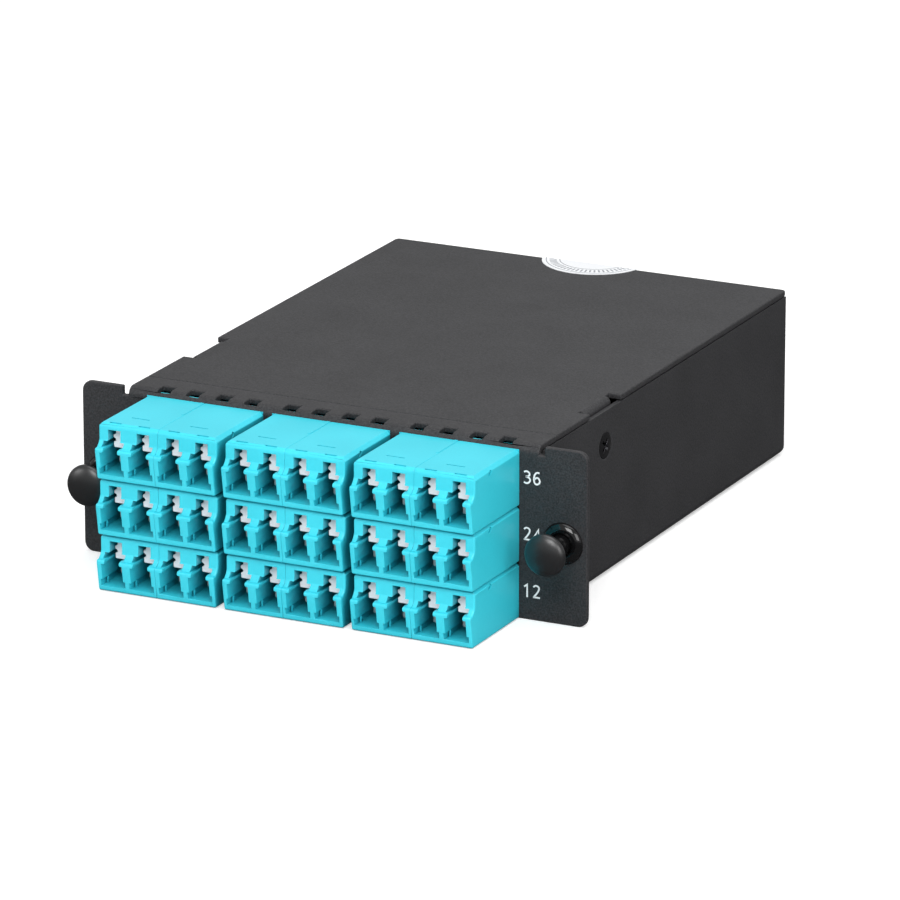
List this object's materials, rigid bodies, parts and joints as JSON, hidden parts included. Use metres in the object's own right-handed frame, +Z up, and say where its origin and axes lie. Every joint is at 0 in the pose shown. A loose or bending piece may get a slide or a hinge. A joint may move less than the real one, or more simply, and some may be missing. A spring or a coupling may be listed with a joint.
{
  "type": "fibre cassette",
  "caption": "Black sheet-steel fibre cassette with aqua LC adapters on its front panel, push-pull latches in both ears and multi-fibre adapters in its rear wall.",
  "frame": {"origin": "middle of the whole part's outline, at the level of its underside", "axes": "+X to the right seen from the front, +Y to the rear, +Z up; the adapters face -Y"},
  "size_m": [0.109, 0.1474, 0.0352],
  "materials": {
    "black_powder_coat": "fine-textured black powder coat on sheet steel",
    "black_screw": "black oxide steel",
    "label_paper": "white seal label",
    "aqua_plastic": "moulded aqua plastic, satin",
    "white_plastic": "moulded white plastic",
    "spring_steel": "bright spring steel",
    "plug_plastic": "moulded beige plastic",
    "grommet_plastic": "glossy black plastic",
    "plunger_plastic": "satin black plastic",
    "mpo_plastic": "moulded black plastic",
    "fibre_jacket": "aqua fibre jacket"
  },
  "bodies": {
    "cassette": {"base_tray": "black_powder_coat", "front_panel": "black_powder_coat", "top_cover": "black_powder_coat", "cover_screws": "black_screw", "seal_label": "label_paper", "adapter_clips": "spring_steel", "lc_adapter_01_04": "aqua_plastic", "sleeve_holder_01_04": "white_plastic", "lc_plugs_01_04": "plug_plastic", "lc_adapter_05_08": "aqua_plastic", "sleeve_holder_05_08": "white_plastic", "lc_plugs_05_08": "plug_plastic", "lc_adapter_09_12": "aqua_plastic", "sleeve_holder_09_12": "white_plastic", "lc_plugs_09_12": "plug_plastic", "lc_adapter_13_16": "aqua_plastic", "sleeve_holder_13_16": "white_plastic", "lc_plugs_13_16": "plug_plastic", "lc_adapter_17_20": "aqua_plastic", "sleeve_holder_17_20": "white_plastic", "lc_plugs_17_20": "plug_plastic", "lc_adapter_21_24": "aqua_plastic", "sleeve_holder_21_24": "white_plastic", "lc_plugs_21_24": "plug_plastic", "lc_adapter_25_28": "aqua_plastic", "sleeve_holder_25_28": "white_plastic", "lc_plugs_25_28": "plug_plastic", "lc_adapter_29_32": "aqua_plastic", "sleeve_holder_29_32": "white_plastic", "lc_plugs_29_32": "plug_plastic", "lc_adapter_33_36": "aqua_plastic", "sleeve_holder_33_36": "white_plastic", "lc_plugs_33_36": "plug_plastic", "latch_grommet_left": "grommet_plastic", "latch_grommet_right": "grommet_plastic", "mpo_adapter_01_12": "mpo_plastic", "mpo_plug_01_12": "mpo_plastic", "mpo_lead_01_12": "fibre_jacket", "fan_out_01_12": "fibre_jacket", "mpo_adapter_13_24": "mpo_plastic", "mpo_plug_13_24": "mpo_plastic", "mpo_lead_13_24": "fibre_jacket", "fan_out_13_24": "fibre_jacket", "mpo_adapter_25_36": "mpo_plastic", "mpo_plug_25_36": "mpo_plastic", "mpo_lead_25_36": "fibre_jacket", "fan_out_25_36": "fibre_jacket"},
    "plunger_left": {"latch_plunger_left": "plunger_plastic"},
    "plunger_right": {"latch_plunger_right": "plunger_plastic"}
  },
  "joints": [
    {"name": "latch_left_push", "type": "slide", "parent": "cassette", "child": "plunger_left", "axis": [0, 1, 0], "range_m": [0, 0.006]},
    {"name": "latch_right_push", "type": "slide", "parent": "cassette", "child": "plunger_right", "axis": [0, 1, 0], "range_m": [0, 0.006]}
  ]
}
